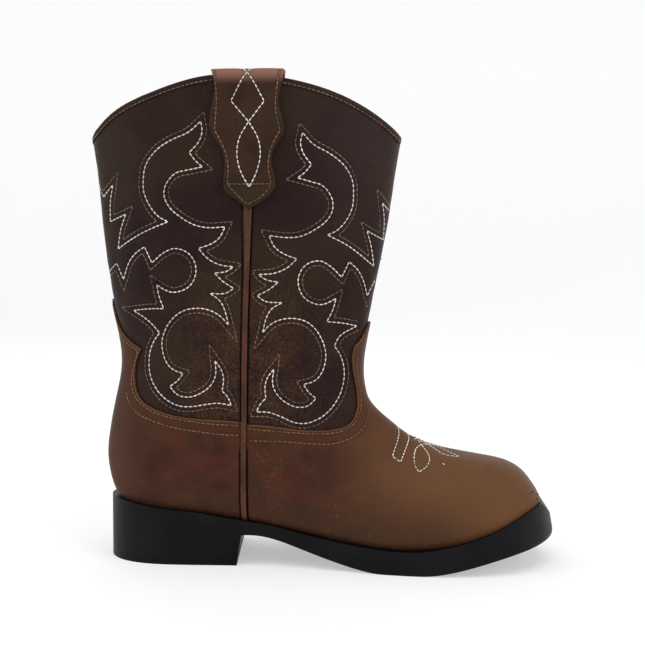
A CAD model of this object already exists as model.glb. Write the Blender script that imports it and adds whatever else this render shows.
import math

import bmesh
import bpy
from mathutils import Euler, Matrix, Vector, noise
from mathutils.bvhtree import BVHTree
from mathutils.geometry import intersect_line_line_2d
from mathutils.kdtree import KDTree


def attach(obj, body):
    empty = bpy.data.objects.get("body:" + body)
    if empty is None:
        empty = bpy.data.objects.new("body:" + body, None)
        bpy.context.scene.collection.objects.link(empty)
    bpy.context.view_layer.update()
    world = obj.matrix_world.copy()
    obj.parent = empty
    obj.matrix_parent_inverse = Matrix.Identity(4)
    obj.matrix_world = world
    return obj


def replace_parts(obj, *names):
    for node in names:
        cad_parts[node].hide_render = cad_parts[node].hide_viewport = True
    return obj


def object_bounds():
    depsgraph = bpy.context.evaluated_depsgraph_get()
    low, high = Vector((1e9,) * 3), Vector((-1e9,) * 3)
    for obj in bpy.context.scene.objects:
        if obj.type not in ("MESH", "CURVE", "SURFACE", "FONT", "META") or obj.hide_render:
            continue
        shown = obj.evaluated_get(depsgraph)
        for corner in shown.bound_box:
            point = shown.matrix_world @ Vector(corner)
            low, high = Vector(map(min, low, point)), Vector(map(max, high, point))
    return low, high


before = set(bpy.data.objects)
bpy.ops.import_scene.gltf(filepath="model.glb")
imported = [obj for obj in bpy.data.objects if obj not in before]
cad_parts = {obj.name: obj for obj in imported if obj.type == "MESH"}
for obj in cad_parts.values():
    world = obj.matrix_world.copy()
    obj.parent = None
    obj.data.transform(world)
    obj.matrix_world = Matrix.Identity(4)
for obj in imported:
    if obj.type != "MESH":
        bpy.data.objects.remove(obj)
cad_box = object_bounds()
MM = 0.001


# ---------------------------------------------------------------------------
# Camera, floor and lamps. The boot stands on a seamless white studio sweep, seen from
# its outer side, a little towards the toe, with soft light from all round.

camera_data = bpy.data.cameras.new("camera")
camera_data.lens = 62.62
camera_data.sensor_width = 36
camera = bpy.data.objects.new("camera", camera_data)
camera.location = (0.0378, -0.5256, 0.1330)
camera.rotation_euler = Euler([math.radians(turn) for turn in (87.4, 0, 4)])
bpy.context.scene.collection.objects.link(camera)
bpy.context.scene.camera = camera
boot_middle = (cad_box[0] + cad_box[1]) / 2


class Tone:
    """One socket of a finish. Sums on it add Math nodes to the same tree."""

    def __init__(self, socket):
        self.socket = socket
        self.tree = socket.id_data

    def make(self, kind, settings=None, inputs=None, output=0):
        """Any other node: its settings first, then the values or links of its sockets."""
        node = self.tree.nodes.new(kind)
        for name, value in (settings or {}).items():
            setattr(node, name, value)
        for name, value in (inputs or {}).items():
            if isinstance(value, Tone):
                self.tree.links.new(value.socket, node.inputs[name])
            else:
                node.inputs[name].default_value = value
        return Tone(node.outputs[output])

    def sum_with(self, other, operation, swapped=False):
        pair = (other, self) if swapped else (self, other)
        return self.make("ShaderNodeMath", {"operation": operation}, dict(enumerate(pair)))

    def __add__(self, other):
        return self.sum_with(other, "ADD")

    def __radd__(self, other):
        return self.sum_with(other, "ADD", True)

    def __sub__(self, other):
        return self.sum_with(other, "SUBTRACT")

    def __rsub__(self, other):
        return self.sum_with(other, "SUBTRACT", True)

    def __mul__(self, other):
        return self.sum_with(other, "MULTIPLY")

    def __rmul__(self, other):
        return self.sum_with(other, "MULTIPLY", True)

    def __truediv__(self, other):
        return self.sum_with(other, "DIVIDE")

    def __pow__(self, other):
        return self.sum_with(other, "POWER")

    def fade(self, start, end):
        """Rises smoothly from 0 where the value is at start to 1 where it is at end."""
        return self.make("ShaderNodeMapRange", {"interpolation_type": "SMOOTHSTEP"},
                         {"Value": self, "From Min": start, "From Max": end})

    def noise(self, scale, detail=3, rough=0.5, stretch=(1, 1, 1), twist=0.0):
        """Cloudy values round 0.5 with this many clouds a metre."""
        place = self.make("ShaderNodeMapping", None, {"Vector": self, "Scale": stretch})
        sockets = {"Vector": place, "Scale": scale, "Detail": detail}
        sockets.update({"Roughness": rough, "Distortion": twist})
        return self.make("ShaderNodeTexNoise", None, sockets)

    def between(self, first, second, blend="MIX"):
        """The first colour where this value is 0, the second where it is 1."""
        settings = {"data_type": "RGBA", "blend_type": blend}
        return self.make("ShaderNodeMix", settings, {0: self, 6: first, 7: second}, 2)


def colour(red, green, blue):
    """A paint-chart colour, 0 to 255, as the light that a shader needs."""
    return (*[((part / 255 + 0.055) / 1.055) ** 2.4 if part > 10 else part / 3295
              for part in (red, green, blue)], 1)


def new_finish(name, **fixed):
    """A material with these fixed shader values: the material, its shader and its own place."""
    finish = bpy.data.materials.new(name)
    finish.use_nodes = True
    shader = finish.node_tree.nodes["Principled BSDF"]
    for socket, value in fixed.items():
        shader.inputs[socket.replace("_", " ")].default_value = value
    places = finish.node_tree.nodes.new("ShaderNodeTexCoord")
    return finish, shader, Tone(places.outputs["Object"])


def feed(shader, height=None, depth=0.0002, **tones):
    """Joins tones to the shader's sockets, and a height of this depth to its normal."""
    for socket, tone in tones.items():
        tone.tree.links.new(tone.socket, shader.inputs[socket.replace("_", " ")])
    if height is not None:
        bump = height.make("ShaderNodeBump", None,
                           {"Height": height, "Distance": depth, "Strength": 1.0})
        height.tree.links.new(bump.socket, shader.inputs["Normal"])


def piece(name, shape, *finishes):
    """An object made of this shape, with its finishes, in the scene."""
    mesh = bpy.data.meshes.new(name)
    shape.to_mesh(mesh)
    shape.free()
    mesh.shade_smooth()
    for finish in finishes:
        mesh.materials.append(finish)
    made = bpy.data.objects.new(name, mesh)
    bpy.context.scene.collection.objects.link(made)
    return made


FLOOR_RADIUS = 1.2
COVE_RADIUS = 0.5
WALL_TOP = 0.8
sweep = bmesh.new()
profile = [sweep.verts.new((0, 0, 0)), sweep.verts.new((FLOOR_RADIUS, 0, 0))]
for step in range(1, 9):
    turn = math.radians(90 * step / 8)
    profile.append(sweep.verts.new((FLOOR_RADIUS + COVE_RADIUS * math.sin(turn), 0,
                                    COVE_RADIUS * (1 - math.cos(turn)))))
profile.append(sweep.verts.new((FLOOR_RADIUS + COVE_RADIUS, 0, WALL_TOP)))
for first, second in zip(profile, profile[1:]):
    sweep.edges.new((first, second))
bmesh.ops.spin(sweep, geom=sweep.verts[:] + sweep.edges[:], cent=(0, 0, 0), axis=(0, 0, 1),
               angle=math.tau, steps=72, use_merge=True)
bmesh.ops.remove_doubles(sweep, verts=sweep.verts, dist=0.0001)
bmesh.ops.recalc_face_normals(sweep, faces=sweep.faces)
bmesh.ops.reverse_faces(sweep, faces=[face for face in sweep.faces
                                      if face.normal.z < -0.1 or
                                      face.normal.dot(face.calc_center_median()) > 0.1])
paper, paper_shader, paper_place = new_finish("studio_paper", Roughness=0.9,
                                              Emission_Color=(1, 1, 1, 1),
                                              Emission_Strength=0.42)
feed(paper_shader, Base_Color=paper_place.noise(40).between(colour(199, 199, 199),
                                                            colour(201, 201, 201)))
piece("studio_sweep", sweep, paper)

world = bpy.data.worlds.new("studio")
world.use_nodes = True
world.node_tree.nodes["Background"].inputs["Color"].default_value = (1, 1, 1, 1)
world.node_tree.nodes["Background"].inputs["Strength"].default_value = 0.68
bpy.context.scene.world = world
bpy.context.scene.view_settings.view_transform = "Standard"


def lamp(name, place, width, height, watts):
    """A soft box at this place that faces the boot."""
    data = bpy.data.lights.new(name, "AREA")
    data.shape = "RECTANGLE"
    data.size, data.size_y = width, height
    data.energy = watts
    made = bpy.data.objects.new(name, data)
    made.location = place
    made.rotation_euler = (boot_middle - Vector(place)).to_track_quat("-Z", "Y").to_euler()
    bpy.context.scene.collection.objects.link(made)


lamp("top_box", (0.15, -0.25, 1.1), 0.9, 0.9, 3.4)
lamp("front_box", (0.95, -0.8, 0.6), 0.6, 0.7, 3.2)
lamp("heel_box", (-0.95, -0.35, 0.5), 0.35, 0.9, 2.2)
lamp("back_box", (-0.3, 1.0, 0.7), 0.9, 0.7, 2.4)


# ---------------------------------------------------------------------------
# Outsole. One unit moulded in black rubber, with its heel block, raised edge and tread,
# cemented to the lasted upper. Its satin skin has fine mould grain and faint scuffs.


def merged(*nodes):
    """A shape with copies of these CAD nodes, their loose triangles merged."""
    shape = bmesh.new()
    for node in nodes:
        shape.from_mesh(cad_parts[node].data)
    bmesh.ops.remove_doubles(shape, verts=shape.verts, dist=0.00001)
    shape.normal_update()
    return shape


def sharp_at(made, angle):
    """Keeps edges past this angle sharp in the shading of a piece."""
    made.data.set_sharp_from_angle(angle=math.radians(angle))
    return made


rubber, rubber_shader, place = new_finish("moulded_rubber", Specular_IOR_Level=0.09)
scuffs = place.noise(220, 5, 0.65).fade(0.56, 0.78)
dust = place.noise(26, 4, 0.6).fade(0.4, 0.75)
skin_grain = place.noise(2600, 2, 0.6)
feed(rubber_shader,
     height=skin_grain + place.noise(420, 3) * 0.8, depth=0.00006,
     Base_Color=(dust * 0.7 + scuffs * 0.3).between(colour(11, 10, 12), colour(22, 21, 24)),
     Roughness=0.40 + dust * 0.12 + scuffs * 0.1)
outsole_shape = merged("outsole")
TOE_START, TOE_FULL = 0.088, 0.1065
TOE_SWELL, SWELL_HEIGHT, SWELL_SPREAD = 0.0013, 0.0135, 0.0055
for vert in outsole_shape.verts:
    ahead = min(1.0, max(0.0, (vert.co.x - TOE_START) / (TOE_FULL - TOE_START)))
    height = math.exp(-((vert.co.z - SWELL_HEIGHT) / SWELL_SPREAD) ** 2)
    vert.co.x += TOE_SWELL * ahead ** 2 * height
outsole = piece("outsole_unit", outsole_shape, rubber)
sharp_at(outsole, 30)
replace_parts(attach(outsole, "root"), "outsole")


# ---------------------------------------------------------------------------
# Foot of the boot: vamp and heel counter. Waxed brown cowhide about 1.5 mm thick, cut to a
# tongue at the front and the back, lapped over the shaft and sewn down with two rows.

LATERAL, MEDIAL = -1, 1
leather_nodes = ("vamp", "counter", "shaft_front", "shaft_back")
skin_shape = merged(*leather_nodes)
skin = BVHTree.FromBMesh(skin_shape)
skin_shape.free()
rows = {"white": [], "brown": []}
STITCH = 2.2 * MM


def on_skin(x, z, side, surface=None):
    """The place on the leather at x, z millimetres, seen square from one side."""
    start = Vector((x * MM, side * 0.2, z * MM))
    found = (surface or skin).ray_cast(start, Vector((0, -side, 0)))[0]
    return found if found is not None and found.y * side > 0 else None


def flowing(points, step=0.6):
    """A smooth flat line through these points, with a point about every step."""
    line = [Vector(point[:2]) for point in points]
    if len(line) == 2:
        count = max(1, round((line[1] - line[0]).length / step))
        return [line[0].lerp(line[1], k / count) for k in range(count + 1)]
    ends = [line[0] * 2 - line[1], line[-1] * 2 - line[-2]]
    line = [ends[0], *line, ends[1]]
    drawn = []
    for before, start, end, after in zip(line, line[1:], line[2:], line[3:]):
        span = (end - start).length
        lead = (end - before).normalized() * span / 3
        tail = (after - start).normalized() * span / 3
        count = max(1, round(span / step))
        for k in range(count):
            t = k / count
            bent = [start, start + lead, end - tail, end]
            while len(bent) > 1:
                bent = [a.lerp(b, t) for a, b in zip(bent, bent[1:])]
            drawn.append(bent[0])
    return [*drawn, line[-2]]


def beside(runs, gap, reach=9.0):
    """The runs of a flat line moved to their right by gap, cut or carried on to meet."""
    moved = []
    for run in runs:
        line = [run[0] - (run[1] - run[0]).normalized() * reach, *run,
                run[-1] + (run[-1] - run[-2]).normalized() * reach]
        shifted = []
        for k, point in enumerate(line):
            ahead = line[min(k + 1, len(line) - 1)] - line[max(k - 1, 0)]
            shifted.append(point + Vector((ahead.y, -ahead.x)).normalized() * gap)
        moved.append(shifted)
    cuts = [[1, None] for run in moved]
    for k in range(len(moved) - 1):
        corner = runs[k][-1]
        best = None
        for i, (a, b) in enumerate(zip(moved[k], moved[k][1:])):
            for j, (c, d) in enumerate(zip(moved[k + 1], moved[k + 1][1:])):
                cross = intersect_line_line_2d(a, b, c, d)
                if cross and (best is None or (cross - corner).length < best[0]):
                    best = ((cross - corner).length, i, j, cross)
        if best:
            cuts[k][1] = (best[1], best[3])
            cuts[k + 1][0] = (best[2], best[3])
    parallel = []
    for shifted, (start, end) in zip(moved, cuts):
        first, head = (start[0] + 1, [start[1]]) if isinstance(start, tuple) else (1, [])
        last, tail = (end[0] + 1, [end[1]]) if end else (len(shifted) - 1, [])
        parallel.append(head + shifted[first:last] + tail)
    return [run for run in parallel if len(run) > 1]


def sew(thread, runs, side, surface=None):
    """Notes a row of stitches along these flat runs, laid on the leather."""
    for run in runs:
        laid = [on_skin(point[0], point[1], side, surface) for point in run]
        laid = [place for place in laid if place is not None]
        if len(laid) > 1:
            rows[thread].append(laid)


counter_edge = [(-106, 129.5), (-98, 117), (-94.5, 107.5), (-88, 101), (-81.2, 97.5)]
counter_side = [(-81.2, 97.5), (-85, 83), (-82.7, 76.2), (-72.7, 70), (-53, 66.5), (-32.5, 65.1)]
vamp_edge = [(29, 120), (22, 110.5), (19, 103.5), (16.4, 99)]
vamp_side = [(16.4, 99), (16.6, 86), (18.3, 72), (15, 64), (6, 61.2), (-10, 61.9), (-31.5, 64)]
counter_second = [(-89, 77.5), (-88, 73.5), (-84.5, 69.5), (-80.5, 67), (-73, 64.5),
                  (-62.5, 62), (-52.5, 60.8), (-42.5, 59.7), (-34.5, 59.4)]
vamp_second = [(22.2, 73), (22.9, 68), (21.5, 62.5), (16.5, 58), (8, 55.2), (-0.5, 55.2),
               (-15, 56.5), (-30.5, 57)]
LAP_GAP = 1.5
for side in (LATERAL, MEDIAL):
    sew("brown", beside([flowing(counter_edge), flowing(counter_side)], LAP_GAP), side)
    sew("brown", beside([flowing(vamp_edge), flowing(vamp_side)], -LAP_GAP), side)
    sew("brown", [flowing(counter_second)], side)
    sew("brown", [flowing(vamp_second)], side)

# The white flourish on the vamp runs over the ridge, the same on both sides.
flourish = [
    [(38.0, 0, 62), (36.6, -9.5, 57), (34.2, -18.5, 49.3)],
    [(34.2, -18.5, 49.3), (37.9, -20.5, 47.0)],
    [(37.9, -20.5, 47.0), (39.4, -15.5, 50.8), (41.6, -6.5, 56.2), (42.6, 0, 59)],
    [(43.5, 3.5, 53.5), (47.3, -6.9, 52.8), (50.2, -13.0, 49.8), (50.8, -17.0, 47.9),
     (49.3, -21.5, 45.3), (46.1, -24.5, 43.3)],
    [(46.1, -24.5, 43.3), (44.3, -21.2, 45.9), (43.9, -17.0, 48.8), (44.6, -12.0, 51.4),
     (47.3, -6.9, 52.8), (50.5, -2.2, 53), (54.5, 0, 52)],
    [(47.0, 2.0, 54), (52.0, -4.0, 51.9), (57.8, -10.1, 49.2), (64.9, -9.3, 48.0)],
    [(64.9, -9.3, 48.0), (58.9, -3.7, 50.0), (54.5, 0, 52)],
    [(56.6, -18.1, 46.4), (57.9, -19.0, 45.7)],
]


def over_skin(points, side, surface=None, step=0.6):
    """A smooth line through places in millimetres, brought to the nearest leather."""
    flat = flowing([(point[0], point[1]) for point in points], step)
    high = flowing([(point[0], point[2]) for point in points], step)
    count = len(flat)
    laid = []
    for k, place in enumerate(flat):
        share = k / max(1, count - 1) * (len(high) - 1)
        low = min(int(share), len(high) - 2)
        height = high[low].y + (high[low + 1].y - high[low].y) * (share - low)
        near = Vector((place.x * MM, -side * place.y * MM, height * MM))
        laid.append((surface or skin).find_nearest(near)[0])
    return laid


for side in (LATERAL, MEDIAL):
    for run in flourish:
        rows["white"].append(over_skin(run, side))


# ---------------------------------------------------------------------------
# Rows on the shaft. Each of the four panel halves has the same flame figure in white
# thread, and a brown row 2 mm outside it; the front half is the back one turned over.

flame = [
    [(84, 180)],
    [(76, 172.5), (70.4, 167.5)],
    [(64.7, 172.7)],
    [(66, 165), (66, 156)],
    [(57.4, 159.2)],
    [(60, 152.5), (61.7, 143.4)],
    [(53.5, 148.2), (46, 151.8), (36.5, 155.4)],
    [(41.2, 157.8), (45.7, 163), (48.5, 169), (48.8, 175), (48, 180.3), (45.5, 184.6),
     (41.6, 188.5), (35, 192.2), (28, 195), (22.3, 199.8)],
    [(21.6, 195), (23.2, 190.5), (27.3, 186.1)],
    [(24.5, 182.5), (21, 179.6)],
    [(27.5, 178.4), (33, 177.3), (36.3, 174.5), (38.5, 170.5), (38.4, 166), (35.8, 161.6),
     (31.4, 157.9), (24.5, 154), (18.2, 152.6), (10.1, 152.9)],
    [(12.7, 147.8), (17, 145), (22.1, 143.4)],
    [(17.8, 138.8), (12.2, 136), (6.1, 135.1)],
    [(9.5, 132.9), (14.6, 132.4)],
    [(10.6, 128.5), (5.8, 125.5)],
    [(9.5, 123.2), (16.5, 123.2)],
    [(12, 120), (9.6, 115.5), (7.8, 108.9)],
    [(11.4, 112.8), (16.5, 115.6), (22.5, 116.5), (28.8, 115.3), (33.8, 111.8), (37.3, 107),
     (39, 101.5), (38.5, 96), (36.3, 91), (32.8, 88.2), (28.6, 86.9)],
    [(31, 83.6), (34.9, 80.8)],
    [(31, 77.1), (25.8, 76.2), (20.6, 77.8), (15.6, 81.6), (13.4, 86.5), (13.8, 92.9)],
    [(10.7, 88.5), (9.7, 84.3), (10.3, 79.3)],
    [(7.5, 76.3), (6, 72.7)],
    [(11.8, 73.7), (17.8, 73), (24.5, 71.9), (30.6, 72.2), (37, 75.2), (41.8, 79.9),
     (44.6, 85.2), (45.5, 90.7), (45, 96.2), (43, 101.4), (40.2, 105.1)],
    [(45.5, 110.3), (53.5, 115.1)],
    [(46, 116), (38.2, 116.2)],
    [(40.4, 121.5), (41.7, 127.1)],
    [(37.5, 124.6), (32.9, 123.6), (25.9, 126.5), (23, 133.5), (25.9, 140.5), (32.9, 143.4),
     (38.8, 141.2), (44.1, 136.9)],
    [(47.8, 144.2)],
    [(52.8, 141), (56.3, 136.2), (58.8, 129.3)],
    [(62.5, 136.8)],
    [(69, 132), (76, 127), (84, 121)],
]
# The bottom arc of the front half swings lower and wider, down to the vamp.
BOTTOM_ARC = 22
front_arc = [(11.8, 73), (17.8, 71.5), (24.5, 69.2), (31.1, 69.3), (38.3, 72.6), (43.6, 77.9),
             (47, 84.2), (48.3, 90.7), (47.9, 96.2), (46, 101.4), (43.1, 105.1)]
front_flame = [*flame[:BOTTOM_ARC], front_arc, *flame[BOTTOM_ARC + 1:]]
SECOND_ROW = 2.1


def drawn(strokes):
    """The flowing runs of a figure that is drawn without lifting the pen."""
    runs = []
    pen = strokes[0][0]
    for stroke in strokes[1:]:
        runs.append(flowing([pen, *stroke]))
        pen = stroke[-1]
    return runs


def seam_at(z):
    """Where the side seam stands at this height, in millimetres along the boot."""
    return -32.6 + max(0, z - 60) * 0.022 + max(0, z - 150) * 0.012


TURN_START = 70.0
TURN_END = 84.0
BESIDE_BEAD = 2.5
# The front figure is a little narrower and lower than the back one, and leans; above the
# ankle it spreads out from the seam and draws in again towards the middle of the front.
FRONT_WIDTH, FRONT_LEAN, FRONT_START = 0.906, 0.013, -0.87
FRONT_HEIGHT, FRONT_FALL, FRONT_DROP = 0.992, -0.079, -1.86
SPREAD_FROM, SPREAD_TO = 108, 123
SEAM_SPREAD, WING_SPREAD, FAR_SPREAD = -1.2, 1.2, -1.8


def on_panel(u, z, side, front):
    """The place on one panel half, u millimetres from the side seam of the back panel."""
    reach = -1
    share = max(0.0, (u - TURN_START) / (TURN_END - TURN_START))
    u = min(max(u, BESIDE_BEAD), TURN_START)
    if front:
        reach = 1
        high = min(1.0, max(0.0, (z - SPREAD_FROM) / (SPREAD_TO - SPREAD_FROM)))
        wing = min(1.0, max(0.0, (u - 6) / 16))
        far = min(1.0, max(0.0, (u - 46) / 14))
        spread = SEAM_SPREAD + (WING_SPREAD - SEAM_SPREAD) * wing + FAR_SPREAD * far
        turned = u + share * (TURN_END - TURN_START)
        u, z = (FRONT_WIDTH * u + FRONT_LEAN * z + FRONT_START + spread * high,
                FRONT_HEIGHT * z + FRONT_FALL * turned + FRONT_DROP)
        u = max(u, BESIDE_BEAD)
    place = on_skin(seam_at(z) + reach * u, z, side)
    if place is None or not share:
        return place
    centre = skin.ray_cast(Vector((reach * 0.2, 0, z * MM)), Vector((-reach, 0, 0)))[0]
    return skin.find_nearest(place.lerp(centre, min(1.0, share)))[0]


for front, figure in ((False, drawn(flame)), (True, drawn(front_flame))):
    for side in (LATERAL, MEDIAL):
        for thread, runs in (("white", figure), ("brown", beside(figure, SECOND_ROW))):
            for run in runs:
                laid = [on_panel(u, z, side, front) for u, z in run]
                laid = [place for place in laid if place is not None]
                if len(laid) > 1:
                    rows[thread].append(laid)

# The top row holds the rolled binding, just under the edge of the leg.
binding_shape = merged("top_binding")
binding_skin = BVHTree.FromBMesh(binding_shape)
top_edge = [(-106.5, 196), (-93, 205.7), (-75, 213.2), (-52, 219.4), (-30, 220.4),
            (-9, 217.6), (11, 211.6), (29, 201.8), (38.5, 194.5)]
TOP_ROW_DROP = 2.35
for side in (LATERAL, MEDIAL):
    sew("brown", beside([flowing(top_edge)], TOP_ROW_DROP, 2.0), side, binding_skin)


# The strap rows: a brown row inside the edge and across the point, and a white figure.
STRAP_ROW_GAP = 1.6
strap_edge = [
    [(-46, 221), (-45.3, 209), (-46.2, 195)],
    [(-46.2, 195), (-42, 187), (-40.3, 180), (-40.6, 171)],
    [(-40.6, 171), (-35, 165), (-30.1, 160.8)],
    [(-30.1, 160.8), (-22.5, 165.2), (-18, 171)],
    [(-18, 171), (-19.3, 180.5), (-17.6, 188), (-13.9, 195)],
    [(-13.9, 195), (-16, 206), (-14.2, 221)],
]
strap_figure = [
    [(-23, 224.5), (-30, 220.6), (-37.2, 208.1)], [(-37.2, 208.1), (-29.4, 199)],
    [(-29.4, 199), (-25.4, 192), (-24.3, 184.5), (-26.2, 176.5), (-29.3, 170.3)],
    [(-29.3, 170.3), (-33, 177), (-34.7, 184.4), (-33.5, 192), (-29.4, 199)],
    [(-29.4, 199), (-22.5, 207.9)], [(-22.5, 207.9), (-30, 220.6), (-37, 224.5)],
]
strap_rows = beside([flowing(run) for run in strap_edge], -STRAP_ROW_GAP)
strap_skins = []
for side, node in ((LATERAL, "pull_strap_lateral"), (MEDIAL, "pull_strap_medial")):
    strap_shape = merged(node)
    strap_skins.append(BVHTree.FromBMesh(strap_shape))
    strap_shape.free()
    sew("brown", strap_rows, side, strap_skins[-1])
    sew("brown", [flowing([(-39, 171.7), (-20, 171.7)])], side, strap_skins[-1])
    sew("white", [flowing(run) for run in strap_figure], side, strap_skins[-1])


# ---------------------------------------------------------------------------
# The leather sheets themselves. Each is one skin of fine mesh on the CAD's outer face, drawn
# in along its stitches, softly puffed between them, and then given its real thickness.

row_places = [place for thread in rows.values() for row in thread for place in row]
near_row = KDTree(len(row_places))
for index, place in enumerate(row_places):
    near_row.insert(place, index)
near_row.balance()


def skin_of(node, inner, smooth_angle=30):
    """Only the outer (or inner) face of a CAD node, as one open sheet."""
    shape = merged(node)
    facing = [face for face in shape.faces if (face.normal.y > 0.7 if inner else
                                               face.normal.y < -0.7)]
    seed = min(facing, key=lambda face: face.calc_center_median().y)
    kept = {seed}
    waiting = [seed]
    while waiting:
        face = waiting.pop()
        for edge in face.edges:
            for other in edge.link_faces:
                if other not in kept and \
                        face.normal.angle(other.normal, 0) < math.radians(smooth_angle):
                    kept.add(other)
                    waiting.append(other)
    for again in range(4):
        kept.update([face for face in shape.faces if face not in kept and
                     sum(other in kept for edge in face.edges for other in edge.link_faces) > 1])
    bmesh.ops.delete(shape, geom=[face for face in shape.faces if face not in kept],
                     context="FACES")
    return shape


SLIVER, LONG = 0.12, 1.4
MENDED_SIDES = 14


def refine(shape, length, sharp_angle=180):
    """Evens out a sheet's triangles to about this length, still on its own surface.

    Slivers are closed, doubled faces are cut out and mended, and corners past the sharp
    angle stay where they are."""
    guide = BVHTree.FromBMesh(shape)
    bmesh.ops.dissolve_degenerate(shape, dist=length * SLIVER, edges=shape.edges[:])
    bmesh.ops.triangulate(shape, faces=[face for face in shape.faces if len(face.verts) > 3])
    for again in range(5):
        long_edges = [edge for edge in shape.edges if edge.calc_length() > length * LONG]
        if not long_edges:
            break
        bmesh.ops.subdivide_edges(shape, edges=long_edges, cuts=1)
        bmesh.ops.triangulate(shape, faces=[face for face in shape.faces
                                            if len(face.verts) > 3])
    for again in range(2):
        doubled = [face for face in shape.faces
                   if any(len(edge.link_faces) > 2 for edge in face.edges)]
        bmesh.ops.delete(shape, geom=doubled, context="FACES")
        bmesh.ops.holes_fill(shape, edges=[edge for edge in shape.edges if edge.is_boundary],
                             sides=MENDED_SIDES)
        bmesh.ops.triangulate(shape, faces=[face for face in shape.faces
                                            if len(face.verts) > 3])
    inside = [vert for vert in shape.verts if not vert.is_boundary and
              all(edge.calc_face_angle(0) < math.radians(sharp_angle)
                  for edge in vert.link_edges)]
    for again in range(3):
        bmesh.ops.smooth_vert(shape, verts=inside, factor=0.5, use_axis_x=True,
                              use_axis_y=True, use_axis_z=True)
    for vert in inside:
        vert.co = guide.find_nearest(vert.co)[0]
    shape.normal_update()


DENT, DENT_WIDTH = 0.00020, 0.0009
PUFF_START, PUFF_END = 0.0035, 0.02
EDGE_ROLL, EDGE_ROLL_WIDTH = 0.00035, 0.0009
TOE_CAP, TOE_CAP_RISE = 0.080, 0.006
finished_skin = [binding_skin]


def leather_sheet(name, node, length, thickness, puff, slack, *finishes, inner=False,
                  shape=None, toe_lift=0.0):
    """A CAD node's sheet, sewn, puffed and thickened, standing for that node.

    A shape that is given already has its thickness, and its sharp edges are its rim."""
    rim_places = []
    if shape is None:
        shape = skin_of(node, inner)
        refine(shape, length)
        rim_places = [vert.co.copy() for vert in shape.verts if vert.is_boundary]
    else:
        for edge in shape.edges:
            if edge.calc_face_angle(0) > math.radians(40):
                start, end = (vert.co.copy() for vert in edge.verts)
                count = max(1, round((end - start).length / 0.0005))
                rim_places += [start.lerp(end, k / count) for k in range(count + 1)]
        refine(shape, length, 40)
    near_rim = KDTree(len(rim_places))
    for index, place in enumerate(rim_places):
        near_rim.insert(place, index)
    near_rim.balance()
    to_edge = shape.verts.layers.float.new("from_edge")
    to_row = shape.verts.layers.float.new("from_row")
    moves = []
    for vert in shape.verts:
        edge_gap = near_rim.find(vert.co)[2]
        row_gap = near_row.find(vert.co)[2]
        vert[to_edge] = edge_gap
        vert[to_row] = row_gap
        lift = -DENT * math.exp(-(row_gap / DENT_WIDTH) ** 2)
        lift += (puff * (1 - math.exp(-(row_gap / PUFF_START) ** 2)) *
                 math.exp(-row_gap / PUFF_END))
        lift += slack * noise.noise(vert.co * 45) + slack * 0.5 * noise.noise(vert.co * 110)
        if edge_gap < EDGE_ROLL_WIDTH:
            lift -= EDGE_ROLL * (1 - edge_gap / EDGE_ROLL_WIDTH) ** 2
        lift += toe_lift * min(1.0, max(0.0, (vert.co.x - TOE_CAP) / TOE_CAP_RISE))
        moves.append(vert.normal * lift)
    for vert, move in zip(shape.verts, moves):
        vert.co += move
    shape.normal_update()
    if not inner:
        finished_skin.append(BVHTree.FromBMesh(shape))
    made = piece(name, shape, *finishes)
    if thickness:
        wall = made.modifiers.new("thickness", "SOLIDIFY")
        wall.thickness = thickness
        wall.offset = -1
        wall.use_even_offset = False
        wall.material_offset_rim = len(finishes) - 1
    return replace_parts(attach(made, "root"), node)


def leather(name, deep, body, light, zones, gloss, grain_scale=1500, edge_tint=None,
            groove=None):
    """Waxed full-grain leather: pores, fine creases, cloudy dye and rubbed high spots.

    The edge tint colours a band along the lapped edges, the groove the edges in the seams."""
    finish, shader, place = new_finish(name, Specular_IOR_Level=0.08)
    clouds = place.noise(16, 4, 0.55, twist=0.6)
    mottle = place.noise(75, 5, 0.6, twist=0.4)
    fibres = place.noise(850, 4, 0.75, stretch=(1.0, 1.0, 0.8), twist=0.6)
    pores = place.make("ShaderNodeTexVoronoi", {"feature": "F1", "distance": "EUCLIDEAN"},
                       {"Vector": place, "Scale": grain_scale})
    fine = place.noise(grain_scale * 0.6, 4, 0.7)
    depth = (clouds * 0.55 + mottle * 0.45).fade(0.36, 0.64)
    dyed = depth.between(deep, body)
    for amount, tint in zones(place, clouds, mottle, fibres):
        dyed = amount.between(dyed, tint)
    rubbed = (fibres * 0.6 + fine * 0.4).fade(0.50, 0.72) * mottle.fade(0.35, 0.7)
    dyed = (rubbed * 0.5).between(dyed, light)
    to_edge = place.make("ShaderNodeAttribute", {"attribute_name": "from_edge"}, None, 2)
    to_row = place.make("ShaderNodeAttribute", {"attribute_name": "from_row"}, None, 2)
    if edge_tint:
        up = place.make("ShaderNodeSeparateXYZ", None, {0: place}, 2)
        lapped = up.fade(0.050, 0.056)
        dyed = (to_edge.fade(0.0085, 0.0055) * lapped * 0.62).between(dyed, edge_tint)
        dyed = (to_edge.fade(0.0009, 0.0003) * lapped * 0.6).between(dyed, light)
        dyed = (to_edge.fade(0.0013, 0.0004) * (1 - lapped)).between(dyed, groove)
    elif groove:
        dyed = to_edge.fade(0.0013, 0.0004).between(dyed, groove)
    dyed = (to_row.fade(0.0013, 0.0002) * 0.45).between(dyed, deep)
    height = pores * 0.5 + fine * 0.6 + fibres * 0.8
    feed(shader, height=height, depth=0.00010, Base_Color=dyed,
         Roughness=gloss + mottle * 0.16 - rubbed * 0.06)
    return finish


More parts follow.
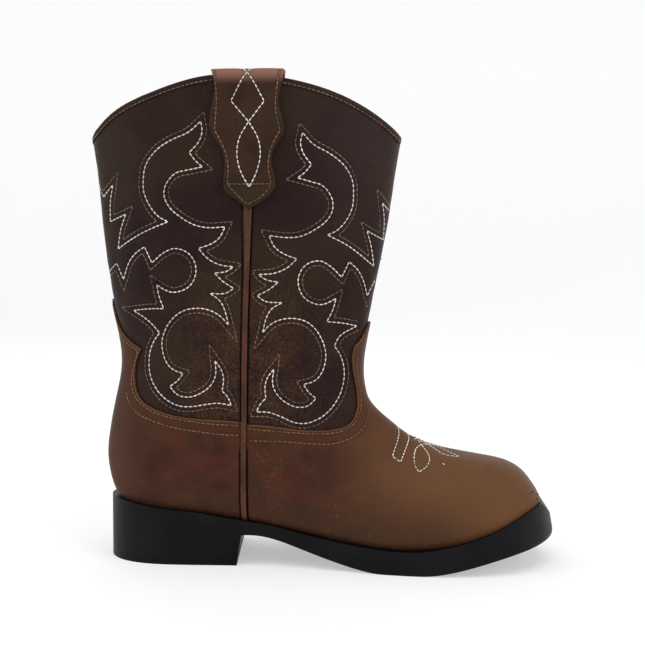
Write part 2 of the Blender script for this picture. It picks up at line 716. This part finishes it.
def foot_zones(place, clouds, mottle, fibres):
    """Lighter and yellower over the toe, redder and darker below the ankle."""
    along = place.make("ShaderNodeSeparateXYZ", None, {0: place})
    up = place.make("ShaderNodeSeparateXYZ", None, {0: place}, 2)
    toe = (along + clouds * 0.03).fade(0.005, 0.075)
    heel = (along + clouds * 0.02).fade(-0.065, -0.09) * up.fade(0.10, 0.03)
    waist = (along + clouds * 0.05).fade(0.06, -0.01) * mottle.fade(0.3, 0.6)
    ruddy = place.noise(38, 4, 0.6, stretch=(1, 1, 1.4), twist=1.2).fade(0.5, 0.64)
    worn = (fibres * 0.6 + place.noise(30, 3, 0.6) * 0.4).fade(0.5, 0.6)
    low = up.fade(0.042, 0.016) * (along + clouds * 0.02).fade(0.095, 0.06)
    return [(waist * 0.55, colour(62, 36, 25)),
            (ruddy * 0.45, colour(76, 36, 27)),
            (worn * waist * along.fade(-0.045, -0.02) * 0.5, colour(104, 62, 34)),
            (toe * 0.85, colour(99, 67, 41)),
            (heel * 0.5, colour(80, 54, 38)),
            (low * 0.8, colour(58, 38, 27))]


foot_leather = leather("foot_leather", colour(52, 30, 21), colour(74, 44, 28),
                       colour(116, 77, 46), foot_zones, 0.40,
                       edge_tint=colour(70, 39, 23), groove=colour(22, 12, 9))
raw_edge, raw_shader, place = new_finish("raw_leather_edge", Roughness=0.8)
feed(raw_shader, height=place.noise(1800, 4, 0.7), depth=0.0002,
     Base_Color=place.noise(700, 3).fade(0.35, 0.65).between(colour(58, 36, 24),
                                                              colour(88, 60, 40)))
for name, node in (("vamp_leather", "vamp"), ("heel_counter_leather", "counter")):
    sheet = leather_sheet(name, node, 1.05 * MM, 1.35 * MM, 0.00012, 0.00016,
                          foot_leather, raw_edge, toe_lift=0.00015)


# ---------------------------------------------------------------------------
# Shaft panels. Two panels of softer near-black brown leather, the front and the back, joined
# by a side seam each side, and worked with the flame rows before they are closed.


def shaft_zones(place, clouds, mottle, fibres):
    """Plum shadows, and olive brown where the wax has broken, mostly low and by the seams."""
    up = place.make("ShaderNodeSeparateXYZ", None, {0: place}, 2)
    along = place.make("ShaderNodeSeparateXYZ", None, {0: place})
    by_seam = along.make("ShaderNodeMath", {"operation": "ABSOLUTE"}, {0: along + 0.031})
    low = up.fade(0.16, 0.09)
    specks = place.noise(1250, 4, 0.75, stretch=(1.0, 1.0, 0.8))
    broken = (specks * 0.6 + fibres * 0.2 + mottle * 0.2).fade(0.46, 0.60)
    olive = clouds.fade(0.44, 0.66)
    sheen = along.fade(-0.02, 0.03) * up.fade(0.13, 0.19)
    return [(olive * 0.6, colour(45, 33, 20)),
            (sheen * 0.5, colour(56, 42, 41)),
            (broken * low * by_seam.fade(0.045, 0.004) * 0.8, colour(80, 54, 32)),
            (broken * low * 0.25, colour(68, 46, 29))]


shaft_leather = leather("shaft_leather", colour(31, 17, 19), colour(38, 24, 21),
                        colour(74, 53, 37), shaft_zones, 0.42, groove=colour(14, 9, 8))
for name, node in (("shaft_front_leather", "shaft_front"), ("shaft_back_leather", "shaft_back")):
    sheet = leather_sheet(name, node, 1.05 * MM, 1.3 * MM, 0.00028, 0.00014,
                          shaft_leather, raw_edge)


# ---------------------------------------------------------------------------
# Side-seam beads. A narrow strip of reddish leather folded over a cord and caught in each
# side seam, from under the pull strap down to the sole.

bead_leather, bead_shader, place = new_finish("bead_leather", Specular_IOR_Level=0.12)
clouds = place.noise(60, 4, 0.6)
fine = place.noise(1300, 4, 0.7, stretch=(1, 1, 0.4))
feed(bead_shader, height=fine, depth=0.0001,
     Base_Color=(clouds * 0.5 + fine * 0.5).fade(0.38, 0.62).between(colour(54, 32, 22),
                                                                      colour(86, 52, 33)),
     Roughness=0.36 + fine * 0.2)
for name, node in (("seam_bead_outer", "piping_lateral"), ("seam_bead_inner", "piping_medial")):
    bead = sharp_at(piece(name, merged(node), bead_leather), 50)
    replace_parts(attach(bead, "root"), node)


# ---------------------------------------------------------------------------
# Top binding. A strip of soft leather rolled over the top edge of leather and lining
# together and sewn through, all round the leg.

binding_leather = leather("binding_leather", colour(33, 20, 18), colour(46, 31, 22),
                          colour(88, 62, 40), shaft_zones, 0.40)
binding = leather_sheet("leg_binding", "top_binding", 1.0 * MM, None, 0, 0.00005,
                        binding_leather, shape=binding_shape)


# ---------------------------------------------------------------------------
# Pull straps. A shaped strap of brown leather each side, folded over the top of the leg
# with its point down the seam, backed with a thinner leather and sewn round its edge.


def strap_zones(place, clouds, mottle, fibres):
    """Pinker and paler over the fold, where the hand pulls, and olive in the point."""
    up = place.make("ShaderNodeSeparateXYZ", None, {0: place}, 2)
    return [(up.fade(0.178, 0.165) * 0.6, colour(50, 37, 18)),
            (up.fade(0.2150, 0.2215) * 0.85, colour(142, 102, 86))]


strap_leather = leather("strap_leather", colour(42, 27, 20), colour(54, 37, 26),
                        colour(92, 66, 45), strap_zones, 0.38)
strap_back_leather = leather("strap_back_leather", colour(46, 31, 24), colour(64, 45, 33),
                             colour(104, 78, 58), strap_zones, 0.5)
FOLD_RADIUS = 0.0014


def folded(node):
    """A strap's shape with the two long edges of its fold well rounded."""
    shape = merged(node)
    top = max(vert.co.z for vert in shape.verts) - 0.0004
    edges = [edge for edge in shape.edges
             if edge.calc_face_angle(0) > math.radians(50) and
             all(vert.co.z > top for vert in edge.verts) and
             abs(edge.verts[0].co.x - edge.verts[1].co.x) > 0.8 * edge.calc_length()]
    bmesh.ops.bevel(shape, geom=edges, offset=FOLD_RADIUS, segments=4, profile=0.5,
                    affect="EDGES", material=-1, clamp_overlap=True)
    return shape


for name, node, backing in (
        ("pull_strap_outer", "pull_strap_lateral", "pull_strap_backing_lateral"),
        ("pull_strap_inner", "pull_strap_medial", "pull_strap_backing_medial")):
    strap = leather_sheet(name, node, 0.9 * MM, None, 0.0002, 0.00008, strap_leather,
                          shape=folded(node))
    back = sharp_at(piece(name + "_backing", merged(backing), strap_back_leather), 40)
    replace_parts(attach(back, "root"), backing)


# ---------------------------------------------------------------------------
# Thread. Every row is one bonded thread, off-white or golden brown, that shows as a short
# raised stitch between two needle holes.

thread_colours = {
    "white": ("white_thread", colour(188, 180, 168), colour(234, 229, 220), 0.60 * MM),
    "brown": ("brown_thread", colour(66, 48, 38), colour(136, 98, 58), 0.52 * MM),
}
STITCH_SHARE = 0.86


def sewn_thread(name, lines, finish, width):
    """One piece with a rounded stitch for every step along the noted rows."""
    threads = bmesh.new()
    for line in lines:
        row = bmesh.new()
        lengths = [0.0]
        for first, second in zip(line, line[1:]):
            lengths.append(lengths[-1] + (second - first).length)
        count = max(1, round(lengths[-1] / STITCH))
        for stitch in range(count):
            ends = []
            for share in (stitch + 0.5 - STITCH_SHARE / 2, stitch + 0.5 + STITCH_SHARE / 2):
                target = lengths[-1] * share / count
                at = max(k for k, length in enumerate(lengths[:-1]) if length <= target)
                step = max(lengths[at + 1] - lengths[at], 1e-9)
                ends.append(line[at].lerp(line[at + 1], (target - lengths[at]) / step))
            middle = (ends[0] + ends[1]) / 2
            found = [surface.find_nearest(middle, 0.004) for surface in finished_skin]
            found = [hit for hit in found if hit[0] is not None]
            along = ends[1] - ends[0]
            if not found or along.length < 0.0003:
                continue
            ground, normal = min(found, key=lambda hit: hit[3])[:2]
            across = normal.cross(along).normalized()
            up = along.cross(across).normalized()
            turn = Matrix((along.normalized(), across, up)).transposed().to_4x4()
            size = Matrix.Diagonal((along.length / 2, width / 2, width * 0.42, 1))
            bmesh.ops.create_uvsphere(row, u_segments=6, v_segments=5, radius=1,
                                      matrix=Matrix.Translation(ground + up * width * 0.12) @
                                      turn @ size @ Matrix.Rotation(math.radians(90), 4, "Y"))
        bmesh.ops.recalc_face_normals(row, faces=row.faces)
        sewn_row = bpy.data.meshes.new("row")
        row.to_mesh(sewn_row)
        row.free()
        threads.from_mesh(sewn_row)
        bpy.data.meshes.remove(sewn_row)
    return piece(name, threads, finish)


for kind, (name, dark, pale, width) in thread_colours.items():
    finish, shader, place = new_finish(name, Roughness=0.7, Sheen_Weight=0.2)
    twist = place.noise(2500, 2, 0.6)
    feed(shader, height=twist, depth=0.0001,
         Base_Color=(place.noise(500, 3) * 0.3 + place.noise(110, 2) * 0.4 + twist * 0.3)
         .fade(0.40, 0.62).between(dark, pale))
    sewn = sewn_thread(name + "_rows", rows[kind], finish, width)
    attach(sewn, "root")


# ---------------------------------------------------------------------------
# Lining. Woven cotton drill glued inside the leather, front and back in the leg and round
# the foot and the heel; it shows inside the leg.

lining_cloth, lining_shader, place = new_finish("lining_drill", Roughness=0.9, Sheen_Weight=0.3)
wave = {"wave_type": "BANDS", "bands_direction": "Z"}
warp = place.make("ShaderNodeTexWave", wave, {"Vector": place, "Scale": 480, "Distortion": 0.4})
weft = place.make("ShaderNodeTexWave", {"wave_type": "BANDS", "bands_direction": "DIAGONAL"},
                  {"Vector": place, "Scale": 380, "Distortion": 0.4})
slub = place.noise(300, 4, 0.6, stretch=(1, 1, 6))
feed(lining_shader, height=warp * 0.5 + weft * 0.5, depth=0.0002,
     Base_Color=(slub * 0.6 + warp * 0.2 + weft * 0.2).fade(0.3, 0.7).between(
         colour(104, 84, 62), colour(152, 128, 98)))
for name, node in (("leg_lining_front", "shaft_lining_front"),
                   ("leg_lining_back", "shaft_lining_back"),
                   ("toe_lining", "vamp_lining"), ("heel_grip_lining", "heel_lining")):
    cloth = leather_sheet(name, node, 2.2 * MM, 0.7 * MM, 0, 0.00025, lining_cloth, inner=True)


# ---------------------------------------------------------------------------
# Hidden layers: toe puff and heel stiffener of pressed fibre, cloth interlining, insole
# board, foam filler, and the steel shank with its rivets. Their CAD shapes stay.


def dress(node, finish):
    """Gives a CAD node this finish in place of its plain one."""
    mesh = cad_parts[node].data
    if not mesh.materials:
        mesh.materials.append(finish)
    for index in range(len(mesh.materials)):
        mesh.materials[index] = finish
    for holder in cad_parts[node].material_slots:
        holder.material = finish


def fibrous(name, dark, pale, scale, rough, depth=0.0002, metal=0.0):
    """A matt stuff of short fibres or cells in two tones."""
    finish, shader, place = new_finish(name, Metallic=metal)
    fibre = place.noise(scale, 5, 0.7, stretch=(1, 0.4, 1), twist=0.5)
    speck = place.noise(scale * 3, 2, 0.6)
    feed(shader, height=fibre * 0.6 + speck * 0.4, depth=depth,
         Base_Color=(fibre * 0.6 + speck * 0.4).fade(0.35, 0.65).between(dark, pale),
         Roughness=rough + fibre * 0.1)
    return finish


board = fibrous("pressed_board", colour(120, 104, 84), colour(168, 150, 124), 500, 0.8)
cloth_between = fibrous("interlining_weave", colour(176, 168, 150), colour(206, 200, 184),
                        700, 0.9)
insole_fibre = fibrous("insole_fibreboard", colour(112, 84, 60), colour(156, 124, 92), 450, 0.85)
filler = fibrous("filler_foam", colour(60, 58, 54), colour(96, 92, 86), 900, 0.95)
steel = fibrous("shank_steel", colour(128, 130, 134), colour(168, 170, 174), 300, 0.3,
                depth=0.00003, metal=1.0)
for node, finish in (("toe_puff", board), ("counter_stiffener", board),
                     ("vamp_interlining", cloth_between), ("insole_board", insole_fibre),
                     ("bottom_filler", filler), ("shank", steel), ("shank_rivets", steel)):
    dress(node, finish)


# ---------------------------------------------------------------------------
# Footbed. A slim pad of foam under a brushed cloth cover, loose-laid on the insole board;
# its cover is what shows at the bottom of the leg.

foam = fibrous("footbed_foam", colour(150, 140, 120), colour(186, 176, 156), 1400, 0.95, 0.0003)
cover = fibrous("footbed_cloth", colour(92, 76, 60), colour(132, 112, 90), 800, 0.9, 0.0003)
for name, node, finish, slot in (
        ("footbed_pad", "footbed", foam, "footbed_foam"),
        ("footbed_sock", "footbed_cover", cover, "footbed_cloth")):
    pad = sharp_at(piece(name, merged(node), finish), 50)
    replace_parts(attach(pad, "root"), node)
